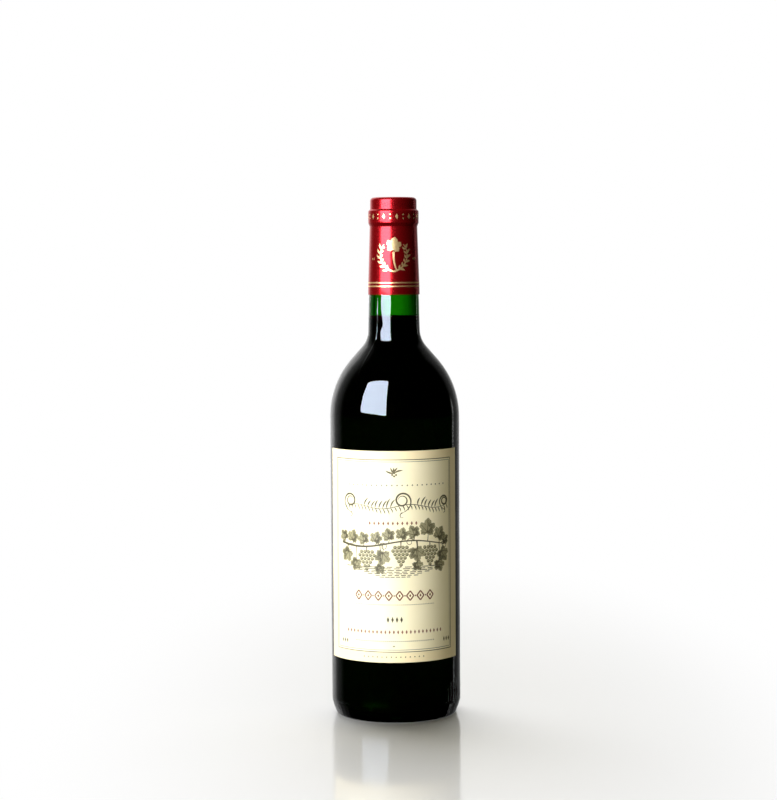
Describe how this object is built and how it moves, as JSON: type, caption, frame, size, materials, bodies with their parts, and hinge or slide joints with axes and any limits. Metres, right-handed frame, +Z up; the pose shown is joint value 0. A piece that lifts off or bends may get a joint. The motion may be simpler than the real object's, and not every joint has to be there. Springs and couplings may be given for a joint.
{
  "type": "wine bottle",
  "caption": "Full, shut red-wine bottle: straight body, high round shoulder, slim neck, domed foot, foil capsule over the mouth and a paper label round the front.",
  "frame": {"origin": "on the bottle's axis, on the surface that it stands on", "axes": "+Z up along the bottle's axis, -Y out of the middle of the label, +X to the right as one faces the label"},
  "size_m": [0.075, 0.0754, 0.3],
  "materials": {
    "bottle": "dark green bottle glass, smooth and glossy",
    "wine": "red wine, nearly black in this depth",
    "capsule": "crimson metallic lacquer on thin foil, with gold print",
    "front_label": "cream uncoated label paper with dark olive and dark red print"
  },
  "bodies": {
    "root": {"bottle": "bottle", "wine": "wine", "capsule": "capsule", "front_label": "front_label"}
  },
  "joints": []
}
